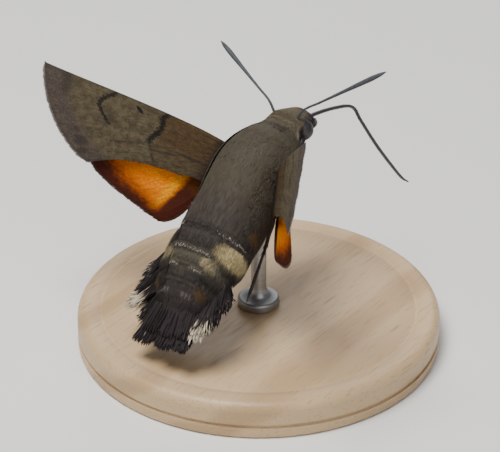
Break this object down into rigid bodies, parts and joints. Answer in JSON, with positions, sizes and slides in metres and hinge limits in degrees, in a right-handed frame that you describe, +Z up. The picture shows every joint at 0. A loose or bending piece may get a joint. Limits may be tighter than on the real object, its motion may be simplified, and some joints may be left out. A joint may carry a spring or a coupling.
{
  "type": "hummingbird hawk moth",
  "caption": "Life-size still model of a hovering hummingbird hawk moth, wings raised and proboscis out, on a small display stand.",
  "frame": {"origin": "centre of the stand's underside, on the surface that it rests on", "axes": "+Z up; the moth heads along -Y, pitched up and rolled a little to its left, with its left wing towards +X"},
  "size_m": [0.0404, 0.0432, 0.0335],
  "materials": {
    "head": "matte olive grey-brown fur",
    "thorax": "matte olive grey-brown fur",
    "abdomen": "dark brown-grey scales with cream patches and white-tipped side tufts",
    "tail_fan": "black-brown flat tail scales",
    "eye": "dark brown, softly glossy",
    "antenna": "dark slate, finely scaled",
    "palp": "pale scales below, grey-brown above",
    "proboscis": "black-brown, slightly shiny",
    "leg": "dark brown scales",
    "forewing": "grey-brown scales with dark cross lines",
    "hindwing": "orange scales with a dark border",
    "stand_base": "pale turned wood, satin",
    "stand_rod": "brushed steel"
  },
  "bodies": {
    "root": {"abdomen": "abdomen", "antenna_left": "antenna", "antenna_right": "antenna", "eye_left": "eye", "eye_right": "eye", "forewing_left": "forewing", "forewing_right": "forewing", "head": "head", "hindwing_left": "hindwing", "hindwing_right": "hindwing", "leg_front_left_lower": "leg", "leg_front_left_upper": "leg", "leg_front_right_lower": "leg", "leg_front_right_upper": "leg", "leg_hind_left_lower": "leg", "leg_hind_left_upper": "leg", "leg_hind_right_lower": "leg", "leg_hind_right_upper": "leg", "leg_middle_left_lower": "leg", "leg_middle_left_upper": "leg", "leg_middle_right_lower": "leg", "leg_middle_right_upper": "leg", "palp_left": "palp", "palp_right": "palp", "proboscis_lower": "proboscis", "proboscis_upper": "proboscis", "stand_base": "stand_base", "stand_rod": "stand_rod", "tail_fan": "tail_fan", "thorax": "thorax"}
  },
  "joints": []
}
